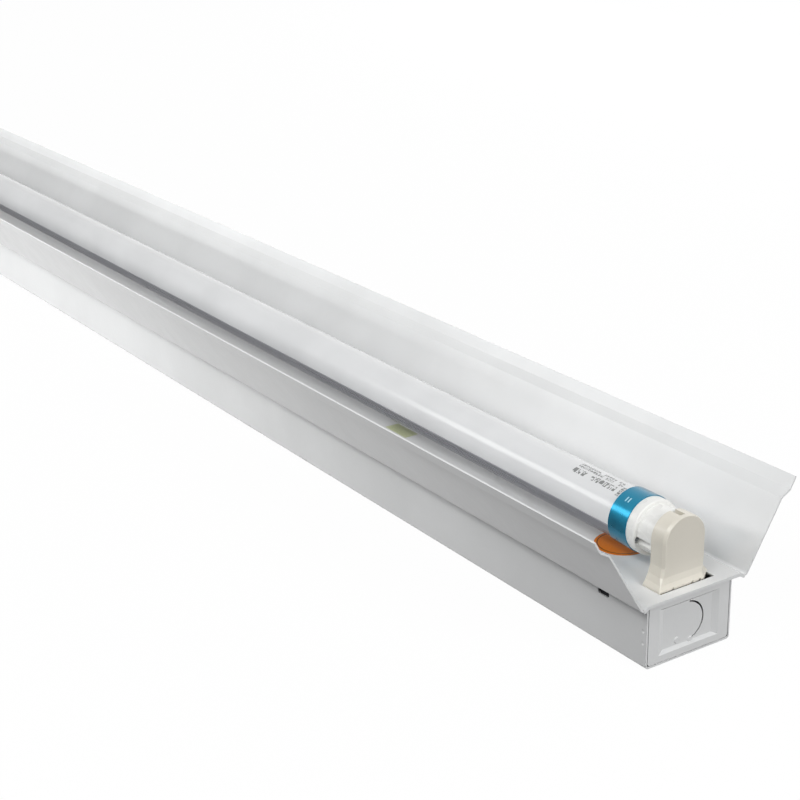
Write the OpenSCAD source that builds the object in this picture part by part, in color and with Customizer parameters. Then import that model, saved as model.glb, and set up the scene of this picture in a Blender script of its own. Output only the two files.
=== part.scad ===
// Batten luminaire: box spine, winged reflector, two turn-in lampholders and one LED tube lamp.
// X runs along the fixture, Y across it and Z up from the mounting face.

/* [Lamp] */
// Length of the lamp between the outer faces of its two caps
lamp_len = 1500; // [1200:50:1800]
// Diameter of the tube
tube_d = 25.8; // [24:0.2:26.6]
// Height of the lamp axis above the reflector base
lamp_rise = 19.6; // [18.6:0.2:25]
// Wall of the aluminium lower half
heatsink_wall = 1; // [0.8:0.1:1.4]
// Radius of the bead along each edge of the aluminium half
bead_r = 0.35; // [0.2:0.05:0.5]
// Wall of the opal upper half
diffuser_wall = 0.9; // [0.7:0.1:1.2]
// Depth below the lamp axis at which the two halves meet
split_drop = 1.6; // [1:0.2:2.4]
// Spacing between LED chips along the board
chip_pitch = 12.5; // [8:0.5:30]
// Width of the LED board
led_board_w = 12; // [8:1:14]
// Length of the driver board
driver_len = 190; // [150:10:260]

/* [Lamp caps] */
// Thickness of the coloured ring
ring_t = 0.8; // [0.5:0.1:1.2]
// Length of the coloured ring
ring_len = 11.8; // [9:0.2:14]
// How far the cap's rim stands out past the tube
cap_rim_out = 0.5; // [0.2:0.1:0.8]
// Length of the cap's rim
cap_rim_len = 5.2; // [4:0.2:7]
// Diameter of the cap's neck
cap_neck_d = 22.8; // [21:0.2:23.4]
// Length of the cap's neck
cap_neck_len = 9.3; // [8:0.1:12]
// Diameter of a contact pin
pin_d = 2.35; // [2.3:0.05:2.4]
// Length of a contact pin outside the cap
pin_len = 7.1; // [6.8:0.1:7.2]
// Spacing of the two contact pins
pin_gap = 12.7; // [12.6:0.1:12.8]

/* [Spine] */
// Width of the box spine
spine_w = 50; // [48:1:53]
// Height of the box spine
spine_h = 32.6; // [31:0.2:34]
// Sheet thickness of the spine
spine_t = 0.8; // [0.6:0.1:1]
// Width of the flange turned in at the top of each side
flange_w = 7; // [5:0.5:7.5]
// Distance between the two fixing slots in the back
fixing_pitch = 900; // [600:50:1000]
// Width of a fixing slot
fixing_w = 6.2; // [5:0.2:8]
// End-to-end length of a fixing slot
fixing_len = 14; // [10:1:20]
// Diameter of the cable hole in the back
cable_hole_d = 20; // [18:1:24]

/* [End plates] */
// Sheet thickness of an end plate
plate_t = 0.8; // [0.6:0.1:1]
// Width of the pressed-in panel
panel_w = 35.4; // [30:0.2:36]
// Height of the pressed-in panel
panel_h = 23; // [22:0.2:24]
// How far the panel's centre lies below the middle of the spine
panel_drop = 0.3; // [0:0.1:1]
// Depth of the pressed-in panel
panel_depth = 1.3; // [0.8:0.1:1.6]
// Diameter of the knockout
knockout_d = 19.6; // [16:0.2:20.2]
// Width of the gap sheared round half of the knockout
knockout_gap = 0.8; // [0.4:0.1:1]

/* [Reflector] */
// Sheet thickness of the reflector
sheet_t = 0.8; // [0.6:0.1:1]
// How far the reflector reaches past each end of the lamp
reflector_over = 17.5; // [17:0.5:24]
// How far the reflector reaches past each end of the spine
spine_setback = 3.2; // [3:0.1:4.2]
// Half width of the flat base
base_half = 27; // [26.8:0.2:29]
// How far the gutter beside the base dips below it
gutter_drop = 1.3; // [0.9:0.1:1.8]
// Bend radius of the gutter, at mid sheet
gutter_r = 1.9; // [1.6:0.1:2.4]
// Half width to the first fold of the wing
wing_half = 50.2; // [46:0.2:56]
// Height of the first fold above the base
wing_rise = 31; // [26:0.5:36]
// Width across of the outward step
step_w = 5; // [3:0.5:8]
// Rise of the outward step
step_rise = 2.8; // [1:0.2:5]
// Width across of the lip
lip_w = 3.2; // [2:0.2:5]
// Rise of the lip
lip_rise = 5.7; // [4:0.1:9]
// Length of the hem folded back at each end
hem_len = 2.6; // [1.5:0.1:2.8]

/* [Lampholders] */
// Width of a lampholder above its foot
holder_w = 24.2; // [23.6:0.2:26]
// Height of a lampholder's top above the lamp axis
holder_rise = 12.7; // [12:0.1:14]
// Corner radius of a lampholder's top
holder_corner = 11; // [8:0.5:11.5]
// Depth of the lampholder's body along the fixture
holder_body_t = 7.2; // [7:0.1:8]
// Depth of the lampholder's outer cover
holder_cover_t = 1.8; // [1.4:0.1:2.2]
// Width of the flared foot
foot_w = 32.4; // [31:0.2:34]
// Height of the flare above the reflector base
foot_rise = 10; // [8:0.5:12]
// Width of the pin entry slot
entry_w = 2.9; // [2.7:0.1:3.2]

/* [Wiring] */
// Outside diameter of a lead
lead_d = 2.2; // [1.8:0.1:2.6]
// Spacing between lead clips
clip_pitch = 240; // [150:10:300]
// Distance of the terminal block from the cable hole
terminal_x = 34; // [30:1:60]

/* [Labels] */
// Diameter of the round label on the reflector base
round_label_d = 26; // [16:1:30]
// Length of the small label on the reflector base
small_label_len = 19; // [10:1:30]
// Width of the small label on the reflector base
small_label_w = 8; // [5:1:14]

/* [Hidden] */

// Facets of round shapes
round_fn = 64;
small_fn = 32;
// Overrun of every cut past the face that it goes through
over = 1;
// Clearance of a part that is only laid in its place
loose = 0.3;
// Clearance of a face that is seated
seat = 0.05;

// Colours
white_paint = [0.93, 0.93, 0.92];
opal_white = [0.96, 0.96, 0.95];
ivory = [0.84, 0.82, 0.76];
ring_blue = [0.05, 0.42, 0.62];
orange = [0.80, 0.46, 0.15];
yellow_green = [0.80, 0.83, 0.62];

// Reflector
lamp_half = lamp_len / 2;
reflector_half = lamp_half + reflector_over;
base_z = spine_h + sheet_t / 2;
base_top = spine_h + sheet_t;
lamp_z = base_top + lamp_rise;
gutter_run = 2.7;
gutter_half = base_half + gutter_run;
gutter_start = 240;
gutter_steps = 8;
gutter_z = base_z - gutter_drop + gutter_r;
wing_slope = atan2(wing_rise, wing_half - gutter_half - gutter_r);

// Spine
spine_half = reflector_half - spine_setback;
bend_r = 1.6;
bend_steps = 5;
flange_relief = 16;
clip_slot_in = 32.5;
clip_slot_w = 7.8;
clip_slot_h = 3;
clip_slot_z = 26;
dimple_d = 2.4;
dimple_depth = 0.45;
dimple_in = 2.4;
dimple_rows = [18.2, 12.2];

// End plate
plate_gap = 0.4;
plate_top_gap = 0.3;
plate_flange = 10;
plate_cut = 1;
plate_notch = 6;
panel_z = spine_h / 2 - panel_drop;
panel_slope_w = 3.2;
panel_slope_h = 1.5;
knockout_tie = 1;
tab_r = 1.7;
tab_out = 0.5;
tab_rise = 0.5;
tab_angles = [232, 281];

// Lampholder, measured inward from the end of the reflector
cutout_front = 5.2;
cutout_len = 11.7;
cutout_w = 31.6;
holder_back = 16.6;
holder_joint = holder_back - holder_body_t;
holder_front = holder_joint - holder_cover_t;
foot_front = 5.7;
cover_taper = 0.9;
cover_edge = 0.3;
cover_top_share = 0.1;
foot_corner_x = 4.6;
foot_corner_y = 6.2;
// Levels of the foot: shares of its height, of its spread to the sides and front, and of its upper corners
foot_level_shares = [
    [0, 1, 1, 0],
    [0.09, 1, 1, 0.05],
    [0.3, 0.62, 0.45, 0.2],
    [0.58, 0.28, 0.05, 0.7],
    [1, 0, 0, 1]
];
foot_mark_shares = [-0.5, 0.2, 0.47];
foot_mark_r = 0.6;
foot_mark_h = 1.1;
foot_edge = 1.8;
plug_depth = 2.6;
plug_gap = 0.3;
leg_drop = 7;
leg_y = 12.9;
leg_t = 2.4;
leg_in = 10.6;
leg_w = 5.6;
barb_out = 0.9;
barb_h = 2.2;

// Rotor, contacts and the pins that they meet
pin_out = pin_gap / 2 + pin_d / 2;
rotor_r = pin_out + 0.05;
rotor_gap = 0.06;
rotor_flange_r = rotor_r + 1.1;
rotor_flange_t = 0.7;
rotor_face_in = 0.3;
rotor_slot_w = pin_d + 0.3;
pin_tip = reflector_over - pin_len;
pin_tip_gap = 0.15;
contact_t = 0.4;
contact_gap = 0.2;
contact_w = 4.2;
contact_up = 3;
contact_pocket = 0.15;
contact_in = pin_tip + pin_tip_gap + 0.4;
contact_foot_drop = 5.5;

// Lamp
tube_r = tube_d / 2;
ring_gap = 0.1;
ring_r = tube_r + ring_gap + ring_t;
cap_rim_r = tube_r + cap_rim_out;
cap_neck_r = cap_neck_d / 2;
ring_in = reflector_over + cap_neck_len + cap_rim_len;
tube_in = ring_in + 2.2;
tube_half = reflector_half - tube_in;
spigot_len = 9;
spigot_gap = 0.1;
spigot_t = 1.4;
spigot_rise = 1;
cap_wall = 2.9;
cap_floor = 2.4;
pin_root = 1.2;
rim_round = 0.8;
deck_t = 1.2;
deck_drop = split_drop + 0.9;
screw_inset = 2.3;
screw_y = tube_r - screw_inset;
screw_drop = 2.9;
port_r = 1.6;
screw_r = 0.9;
screw_head_r = 1.6;
screw_head_t = 1.2;
screw_cross_w = 0.5;
screw_recess_r = 1.9;
screw_recess_depth = 2.6;
screw_len = 8;
led_board_t = 1;
led_end = 12;
chip_l = 3.5;
chip_w = 2.8;
chip_h = 0.7;
driver_board_t = 1;
driver_drop = 5.6;
driver_side_gap = 0.6;
driver_low = driver_drop + driver_board_t;
driver_board_w = 2 * (sqrt(pow(tube_r - heatsink_wall, 2) - pow(driver_low, 2)) - driver_side_gap);
ledge_w = 1.6;
ledge_t = 1;
driver_end = 40;
// Boxes under the driver board: distance along it, Y, length, width and height
driver_boxes = [
    [20, -3.5, 6, 4, 3], [20, 3.5, 6, 4, 3], [56, 0, 14, 8, 4], [76, -3, 7, 5, 2], [118, 0, 12, 8, 4]
];
// Round parts under the driver board: distance along it, length and radius
driver_cans = [[6, 9, 2], [32, 18, 2.4], [90, 22, 2.4]];

// Spring clips
clip_t = 0.4;
clip_w = 6.4;
clip_top_y = 9;
clip_leg_gap = 1.4;
clip_leg_y = spine_w / 2 - flange_w - clip_leg_gap;
clip_low = 4.2;
clip_foot_rise = 2;
clip_low_z = clip_slot_z - clip_low;
clip_nib = 0.45;
clip_wall_gap = 0.5;
clip_nib_low = 0.5;
clip_nib_high = 0.9;

// Wiring
lead_r = lead_d / 2;
lead_sides = 8;
lead_bend = 7;
lead_bend_steps = 4;
lead_tip = 5;
live_y = -12;
neutral_y = 19;
lead_z = spine_t + lead_r + loose;
lead_turn = 15;
lead_gap = 0.2;
bend_share = 0.45;
holder_lead_rise = 12;
contact_mid_x = reflector_half - contact_in - contact_w / 2;
contact_mid_y = rotor_r + contact_gap + contact_t / 2;
contact_low = spine_h - contact_foot_drop - lead_gap;
lamp_lead_r = 0.7;
lamp_lead_y = 4.5;
lamp_lead_z = lamp_z - (deck_drop + deck_t + driver_drop) / 2;
lamp_lead_run = 6;
lamp_lead_lap = 3;
terminal_l = 17;
terminal_end = terminal_x + terminal_l;
terminal_mid = terminal_x + terminal_l / 2;
terminal_h = 14;
terminal_top = spine_t + terminal_h;
terminal_pitch = 10;
terminal_w = 3 * terminal_pitch;
terminal_bore_z = spine_t + 5.2;
terminal_tube_r = 2.1;
terminal_tube_wall = 0.5;
terminal_tube_end = 1;
terminal_tip_gap = 0.2;
terminal_screw_r = 1.3;
terminal_head_r = 1.9;
terminal_head_t = 1.2;
terminal_screw_off = 4.8;
terminal_well_r = 2.2;
terminal_well = 3;
terminal_notch = 1.2;
earth_off = 40;
earth_x = terminal_x + earth_off;
earth_y = -6;
earth_screw_r = 2;
earth_head_r = 3.6;
earth_head_h = 2.4;
earth_cross_w = 1;
earth_cross_depth = 1.2;
washer_r = 4.2;
washer_t = 0.8;
tag_r = 4;
tag_t = 0.8;
tag_len = 11;
tag_barrel_r = 2;
tag_barrel_len = 5;
tag_start = earth_x - tag_len;
grommet_t = 1.6;
grommet_lip = 2.5;
grommet_bore_r = 6.5;
saddle_len = 8;
saddle_side = 2.6;
saddle_h = 4.6;
saddle_end = 60;

// Labels
label_t = 0.2;
round_label_in = 54.5;
round_label_y = 4.5;
small_label_in = 231;

// Points of an arc
function arc(cx, cy, r, a0, a1, n) =
    [for (i = [0 : n]) let (a = a0 + (a1 - a0) * i / n) [cx + r * cos(a), cy + r * sin(a)]];

// Unit direction from one point to the next, and its left-hand normal
function heading(a, b) = (b - a) / norm(b - a);
function left_of(d) = [-d[1], d[0]];

// Mitred normal of a path at one of its points
function mitre(path, i) =
    let (
        last = len(path) - 1,
        before = left_of(heading(path[max(i - 1, 0)], path[max(i, 1)])),
        after = left_of(heading(path[min(i, last - 1)], path[min(i + 1, last)]))
    )
    (before + after) / (1 + before * after);

// Outline of a bent sheet between two offsets from its path
function sheet_outline(path, a, b) = concat(
    [for (i = [0 : len(path) - 1]) path[i] + a * mitre(path, i)],
    [for (i = [len(path) - 1 : -1 : 0]) path[i] + b * mitre(path, i)]
);

// A half path that starts beside the centre line, with its mirror image before it
function both_sides(half) = concat(
    [for (i = [len(half) - 1 : -1 : 0]) [-half[i][0], half[i][1]]],
    half
);

// Extrude a shape drawn in Y and Z along X
module along_x(x0, x1) {
    translate([x0, 0, 0])
        rotate([90, 0, 90])
            linear_extrude(x1 - x0)
                children();
}

// Place something drawn at a distance inward from the near end of the reflector
module from_end(inward) {
    translate([reflector_half - inward, 0, 0])
        children();
}

// A cylinder along X between two distances inward from the near end
module end_rod(inward0, inward1, r, y, z, fn) {
    translate([reflector_half - inward1, y, z])
        rotate([0, 90, 0])
            cylinder(h = inward1 - inward0, r = r, $fn = fn);
}

// A block given by two distances inward from the near end, and its ranges in Y and Z
module end_block(inward0, inward1, y0, y1, z0, z1) {
    translate([reflector_half - inward1, y0, z0])
        cube([inward1 - inward0, y1 - y0, z1 - z0]);
}

module far_end() {
    mirror([1, 0, 0])
        children();
}

// Spine channel

function spine_half_path(flanged) =
    let (
        corner = spine_w / 2 - bend_r,
        mid_r = bend_r - spine_t / 2,
        top = spine_h - bend_r
    )
    concat(
        [[corner / 2, spine_t / 2]],
        arc(corner, bend_r, mid_r, -90, 0, bend_steps),
        flanged
            ? concat(
                arc(corner, top, mid_r, 0, 90, bend_steps),
                [[spine_w / 2 - flange_w, spine_h - spine_t / 2]]
            )
            : [[spine_w / 2 - spine_t / 2, spine_h]]
    );

module spine_section(flanged) {
    polygon(sheet_outline(both_sides(spine_half_path(flanged)), spine_t / 2, -spine_t / 2));
}

module slot_hole(x, w, l) {
    translate([x, 0, -over])
        linear_extrude(spine_t + 2 * over) {
            square([l - w, w], center = true);
            for (side = [-1, 1])
                translate([side * (l - w) / 2, 0])
                    circle(d = w, $fn = small_fn);
        }
}

module spine_end_cuts() {
    for (side = [-1, 1]) {
        from_end(clip_slot_in)
            translate([0, side * (spine_w - spine_t) / 2, clip_slot_z])
                rotate([90, 0, 0])
                    translate([0, 0, -spine_t / 2 - over])
                        linear_extrude(spine_t + 2 * over) {
                            square([clip_slot_w - clip_slot_h, clip_slot_h], center = true);
                            for (end = [-1, 1])
                                translate([end * (clip_slot_w - clip_slot_h) / 2, 0])
                                    circle(d = clip_slot_h, $fn = small_fn);
                        }
        for (z = dimple_rows)
            from_end(spine_setback + dimple_in)
                translate([0, side * (spine_w / 2 + dimple_d / 2 - dimple_depth), z])
                    sphere(d = dimple_d, $fn = small_fn);
    }
}

module spine_channel() {
    color(white_paint)
        difference() {
            union() {
                along_x(-spine_half + flange_relief, spine_half - flange_relief)
                    spine_section(true);
                along_x(spine_half - flange_relief, spine_half)
                    spine_section(false);
                along_x(-spine_half, -spine_half + flange_relief)
                    spine_section(false);
            }
            spine_end_cuts();
            far_end()
                spine_end_cuts();
            for (side = [-1, 1])
                slot_hole(side * fixing_pitch / 2, fixing_w, fixing_len);
            translate([0, 0, -over])
                cylinder(h = spine_t + 2 * over, d = cable_hole_d, $fn = round_fn);
            translate([earth_x, earth_y, -over])
                cylinder(h = spine_t + 2 * over, r = earth_screw_r + seat, $fn = small_fn);
            for (side = [-1, 1])
                translate([terminal_mid, side * terminal_pitch / 2, -over])
                    cylinder(h = spine_t + 2 * over, r = terminal_screw_r + seat, $fn = small_fn);
        }
}

// End plates

module end_plate() {
    half = spine_w / 2 - spine_t - plate_gap;
    low = spine_t + plate_gap;
    high = spine_h - plate_top_gap;
    front = spine_setback;
    difference() {
        union() {
            along_x(reflector_half - front - plate_t, reflector_half - front)
                polygon([
                    [-half + plate_cut, low], [half - plate_cut, low], [half, low + plate_cut],
                    [half, high], [-half, high], [-half, low + plate_cut]
                ]);
            end_block(
                front, front + plate_t + panel_depth,
                -panel_w / 2 - plate_t, panel_w / 2 + plate_t,
                panel_z - panel_h / 2 - plate_t, panel_z + panel_h / 2 + plate_t
            );
            for (side = [-1, 1])
                translate([0, side * (half - plate_t / 2), 0])
                    end_block(
                        front, front + plate_flange,
                        -plate_t / 2, plate_t / 2, low + bend_r, high - plate_notch
                    );
            end_block(front, front + plate_flange, -half + bend_r, half - bend_r, low, low + plate_t);
        }
        hull() {
            end_block(
                front - over, front,
                -panel_w / 2, panel_w / 2,
                panel_z - panel_h / 2, panel_z + panel_h / 2
            );
            end_block(
                front, front + panel_depth,
                -panel_w / 2 + panel_slope_w, panel_w / 2 - panel_slope_w,
                panel_z - panel_h / 2 + panel_slope_h, panel_z + panel_h / 2 - panel_slope_h
            );
        }
        difference() {
            end_rod(front - over, front + plate_t + panel_depth + over, knockout_d / 2, 0, panel_z, round_fn);
            end_rod(
                front - 2 * over, front + plate_t + panel_depth + 2 * over,
                knockout_d / 2 - knockout_gap, 0, panel_z, round_fn
            );
            end_block(
                front - 2 * over, front + plate_t + panel_depth + 2 * over,
                -knockout_d, knockout_tie,
                panel_z - knockout_d, panel_z + knockout_d
            );
        }
    }
}

// Pressed tabs that tie the knockout to the panel
module knockout_tabs() {
    reach = knockout_d / 2;
    floor_in = spine_setback + panel_depth;
    for (angle = tab_angles)
        from_end(floor_in + seat)
            translate([0, reach * cos(angle), panel_z + reach * sin(angle)])
                rotate([0, 90, 0])
                    cylinder(h = tab_rise + seat, r1 = tab_r, r2 = tab_r - tab_out, $fn = small_fn);
}

module end_plate_near() {
    color(white_paint) {
        end_plate();
        knockout_tabs();
    }
}

module end_plate_far() {
    color(white_paint)
        far_end() {
            end_plate();
            knockout_tabs();
        }
}

// Reflector

// The base and its gutter, round to a given angle
function base_half_path(gutter_end) = concat(
    [[base_half / 2, base_z], [base_half, base_z]],
    arc(gutter_half, gutter_z, gutter_r, gutter_start, gutter_end, gutter_steps)
);

function reflector_half_path() = concat(
    base_half_path(270 + wing_slope),
    [
        [wing_half, base_z + wing_rise],
        [wing_half + step_w, base_z + wing_rise + step_rise],
        [wing_half + step_w + lip_w, base_z + wing_rise + step_rise + lip_rise]
    ]
);

module reflector() {
    color(white_paint)
        difference() {
            union() {
                along_x(-reflector_half, reflector_half)
                    polygon(sheet_outline(both_sides(reflector_half_path()), sheet_t / 2, -sheet_t / 2));
                for (start = [-reflector_half, reflector_half - hem_len])
                    along_x(start, start + hem_len)
                        polygon(sheet_outline(both_sides(base_half_path(270)), 0, -3 * sheet_t / 2));
            }
            holder_cutout();
            far_end()
                holder_cutout();
        }
}

module holder_cutout() {
    end_block(
        cutout_front, cutout_front + cutout_len,
        -cutout_w / 2, cutout_w / 2,
        spine_h - over, base_top + over
    );
}

// Spring clips under the reflector base that hook into the slots of the spine

function clip_path() =
    let (
        wall = spine_w / 2 - spine_t,
        top = spine_h - clip_t / 2
    )
    [
        [clip_top_y, top],
        [clip_leg_y, top],
        [clip_leg_y, clip_low_z + clip_foot_rise],
        [clip_leg_y + clip_foot_rise / 2, clip_low_z],
        [wall - clip_wall_gap, clip_low_z],
        [wall - clip_wall_gap, clip_slot_z - clip_nib_low],
        [wall + clip_nib, clip_slot_z],
        [wall - clip_wall_gap, clip_slot_z + clip_nib_high]
    ];

module clip_pair() {
    for (side = [0, 1])
        mirror([0, side, 0])
            along_x(
                reflector_half - clip_slot_in - clip_w / 2,
                reflector_half - clip_slot_in + clip_w / 2
            )
                polygon(sheet_outline(clip_path(), clip_t / 2, -clip_t / 2));
}

module reflector_clips() {
    color("dimgray") {
        clip_pair();
        far_end()
            clip_pair();
    }
}

// Labels on the reflector base

module round_label() {
    color(orange)
        from_end(round_label_in)
            translate([0, round_label_y, base_top])
                cylinder(h = label_t, d = round_label_d, $fn = round_fn);
}

module small_label() {
    color(yellow_green)
        from_end(small_label_in + small_label_len / 2)
            translate([0, -small_label_w / 2, base_top])
                cube([small_label_len, small_label_w, label_t]);
}

// Lampholders

module tombstone(w, top, corner, low) {
    r = min(corner, w / 2 - seat);
    translate([-w / 2, low])
        square([w, top - r - low]);
    translate([-w / 2 + r, low])
        square([w - 2 * r, top - low]);
    for (side = [-1, 1])
        translate([side * (w / 2 - r), top - r])
            circle(r = r, $fn = round_fn);
}

// Plan of the foot, with one front corner cut back more than the other
function foot_plan(front, w, corner_share) =
    let (
        left_x = corner_share * holder_cover_t,
        left_y = corner_share * cover_taper,
        right_x = (1 - corner_share) * foot_corner_x + left_x,
        right_y = (1 - corner_share) * foot_corner_y + left_y
    )
    [
        [reflector_half - holder_back, -w / 2],
        [reflector_half - front - max(left_x, seat), -w / 2],
        [reflector_half - front, -w / 2 + max(left_y, seat)],
        [reflector_half - front, w / 2 - right_y],
        [reflector_half - front - right_x, w / 2],
        [reflector_half - holder_back, w / 2]
    ];

module foot_level(shares) {
    translate([0, 0, base_top + shares[0] * (foot_rise - seat)])
        linear_extrude(seat)
            polygon(foot_plan(
                holder_front - shares[2] * (holder_front - foot_front),
                holder_w + shares[1] * (foot_w - holder_w),
                shares[3]
            ));
}

module holder_foot() {
    for (i = [1 : len(foot_level_shares) - 1])
        hull() {
            foot_level(foot_level_shares[i - 1]);
            foot_level(foot_level_shares[i]);
        }
}

module holder_legs() {
    for (side = [0, 1])
        mirror([0, side, 0]) {
            end_block(leg_in, leg_in + leg_w, leg_y, leg_y + leg_t, spine_h - leg_drop, spine_h);
            along_x(reflector_half - leg_in - leg_w, reflector_half - leg_in)
                polygon([
                    [leg_y + leg_t, spine_h - seat],
                    [cutout_w / 2 + barb_out, spine_h - seat],
                    [leg_y + leg_t, spine_h - seat - barb_h]
                ]);
        }
}

module contact_pocket_cut(side) {
    y0 = rotor_r + rotor_gap;
    y1 = rotor_r + contact_gap + contact_t + contact_pocket;
    mirror([0, side, 0])
        end_block(
            contact_in - contact_pocket, contact_in + contact_w + contact_pocket,
            y0, y1,
            spine_h - leg_drop - over, lamp_z + contact_up + contact_pocket
        );
}

module holder_body() {
    color(ivory)
        difference() {
            union() {
                along_x(reflector_half - holder_back, reflector_half - holder_joint)
                    tombstone(holder_w, lamp_z + holder_rise, holder_corner, base_top + foot_edge);
                holder_foot();
                end_block(
                    foot_front + foot_corner_x, holder_back,
                    -cutout_w / 2 + plug_gap, cutout_w / 2 - plug_gap,
                    base_top - plug_depth, base_top + foot_edge / 2
                );
                holder_legs();
            }
            end_rod(holder_joint - over, holder_back + over, rotor_r + rotor_gap, 0, lamp_z, round_fn);
            end_rod(
                holder_joint - over, holder_joint + rotor_flange_t + 2 * rotor_gap,
                rotor_flange_r + rotor_gap, 0, lamp_z, round_fn
            );
            end_block(
                pin_tip - pin_tip_gap, holder_back + over,
                -entry_w / 2, entry_w / 2,
                lamp_z, lamp_z + holder_rise + over
            );
            for (side = [0, 1])
                contact_pocket_cut(side);
            for (share = foot_mark_shares)
                from_end(foot_front)
                    translate([0, share * foot_w / 2, base_top - over])
                        cylinder(h = foot_mark_h + over, r = foot_mark_r, $fn = small_fn);
        }
}

module cover_slice(x0, x1, taper) {
    along_x(x0, x1)
        tombstone(
            holder_w - 2 * taper, lamp_z + holder_rise - cover_top_share * taper,
            holder_corner - cover_top_share * taper, base_top + foot_rise
        );
}

module holder_cover() {
    joint = reflector_half - holder_joint;
    front = reflector_half - holder_front;
    color(ivory)
        hull() {
            cover_slice(joint, joint + seat, 0);
            cover_slice(joint, front - cover_edge, cover_taper - cover_edge);
            cover_slice(joint, front, cover_taper);
        }
}

// The rotor turns in the body, held back by its flange, and carries the pins across its slot
module rotor() {
    color("whitesmoke")
        difference() {
            union() {
                end_rod(holder_joint + rotor_gap, holder_back - rotor_face_in, rotor_r, 0, lamp_z, round_fn);
                end_rod(
                    holder_joint + rotor_gap, holder_joint + rotor_gap + rotor_flange_t,
                    rotor_flange_r, 0, lamp_z, round_fn
                );
            }
            end_block(
                pin_tip - pin_tip_gap, holder_back + over,
                -rotor_flange_r - over, rotor_flange_r + over,
                lamp_z - rotor_slot_w / 2, lamp_z + rotor_slot_w / 2
            );
        }
}

module holder_contacts() {
    y0 = rotor_r + contact_gap;
    color("goldenrod")
        for (side = [0, 1])
            mirror([0, side, 0])
                end_block(
                    contact_in, contact_in + contact_w,
                    y0, y0 + contact_t,
                    spine_h - contact_foot_drop, lamp_z + contact_up
                );
}

module holder_body_near() {
    holder_body();
}

module holder_body_far() {
    far_end()
        holder_body();
}

module holder_cover_near() {
    holder_cover();
}

module holder_cover_far() {
    far_end()
        holder_cover();
}

module holder_contacts_near() {
    holder_contacts();
}

module holder_contacts_far() {
    far_end()
        holder_contacts();
}

module rotor_near() {
    rotor();
}

module rotor_far() {
    far_end()
        rotor();
}

// Lamp tube: aluminium lower half and opal upper half

module below(depth) {
    translate([-2 * tube_r, -depth - 4 * tube_r])
        square([4 * tube_r, 4 * tube_r]);
}

module above(depth) {
    translate([-2 * tube_r, -depth])
        square([4 * tube_r, 4 * tube_r]);
}

module heatsink_section() {
    inner_r = tube_r - heatsink_wall;
    difference() {
        intersection() {
            union() {
                difference() {
                    circle(r = tube_r, $fn = 2 * round_fn);
                    circle(r = inner_r, $fn = 2 * round_fn);
                }
                intersection() {
                    circle(r = tube_r - heatsink_wall / 2, $fn = 2 * round_fn);
                    union() {
                        translate([-tube_r, -deck_drop - deck_t])
                            square([2 * tube_r, deck_t]);
                        for (side = [0, 1])
                            mirror([side, 0]) {
                                translate([driver_board_w / 2 - ledge_w, -driver_low - ledge_t])
                                    square([tube_r, ledge_t]);
                                translate([screw_y, -screw_drop])
                                    circle(r = port_r, $fn = small_fn);
                            }
                    }
                }
            }
            below(split_drop);
        }
        for (side = [-1, 1])
            translate([side * screw_y, -screw_drop])
                circle(r = screw_r + seat, $fn = small_fn);
    }
}

module heatsink_beads() {
    drop = split_drop + seat + bead_r;
    for (side = [-1, 1])
        translate([side * sqrt(pow(tube_r, 2) - pow(drop, 2)), -drop])
            circle(r = bead_r, $fn = small_fn);
}

// The beads stop short of the rings
module lamp_heatsink() {
    bead_half = reflector_half - ring_in - ring_len - loose;
    color("silver") {
        along_x(-tube_half, tube_half)
            translate([0, lamp_z])
                heatsink_section();
        along_x(-bead_half, bead_half)
            translate([0, lamp_z])
                heatsink_beads();
    }
}

module lamp_diffuser() {
    color(opal_white)
        along_x(-tube_half, tube_half)
            translate([0, lamp_z])
                intersection() {
                    difference() {
                        circle(r = tube_r, $fn = 2 * round_fn);
                        circle(r = tube_r - diffuser_wall, $fn = 2 * round_fn);
                    }
                    above(split_drop);
                }
}

module led_board() {
    color("white")
        translate([-tube_half + led_end, -led_board_w / 2, lamp_z - deck_drop])
            cube([2 * (tube_half - led_end), led_board_w, led_board_t]);
}

module led_chips() {
    run = 2 * (tube_half - led_end) - chip_pitch;
    count = floor(run / chip_pitch);
    chips_z = lamp_z - deck_drop + led_board_t;
    color("khaki")
        for (i = [0 : count])
            translate([(i - count / 2) * chip_pitch - chip_l / 2, -chip_w / 2, chips_z])
                cube([chip_l, chip_w, chip_h]);
}

module driver_board() {
    color("seagreen")
        translate([tube_half - driver_end - driver_len, -driver_board_w / 2, lamp_z - driver_low])
            cube([driver_len, driver_board_w, driver_board_t]);
}

module driver_parts() {
    end = tube_half - driver_end;
    under = lamp_z - driver_low;
    color("dimgray") {
        for (b = driver_boxes)
            translate([end - b[0] - b[2], b[1] - b[3] / 2, under - b[4]])
                cube([b[2], b[3], b[4]]);
        for (c = driver_cans)
            translate([end - c[0] - c[1], 0, under - c[2]])
                rotate([0, 90, 0])
                    cylinder(h = c[1], r = c[2], $fn = small_fn);
    }
}

// Lamp caps, coloured rings and pins

module ring() {
    color(ring_blue)
        difference() {
            end_rod(ring_in, ring_in + ring_len, ring_r, 0, lamp_z, 2 * round_fn);
            end_rod(ring_in - over, ring_in + ring_len + over, ring_r - ring_t, 0, lamp_z, 2 * round_fn);
        }
}

// Radius and depth of the cap's turned shape, from the face of its neck inward
function cap_profile() =
    let (
        cavity = cap_neck_r - cap_wall,
        rim_end = cap_neck_len + cap_rim_len,
        total = tube_in - reflector_over
    )
    concat(
        [[0, 0], [cap_neck_r - rim_round / 2, 0], [cap_neck_r, rim_round / 2], [cap_neck_r, cap_neck_len]],
        [for (p = arc(cap_rim_r - rim_round, cap_neck_len + rim_round, rim_round, -90, 0, bend_steps)) p],
        [
            [cap_rim_r, rim_end], [tube_r, rim_end], [tube_r, total],
            [cavity, total], [cavity, cap_floor], [0, cap_floor]
        ]
    );

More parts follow.
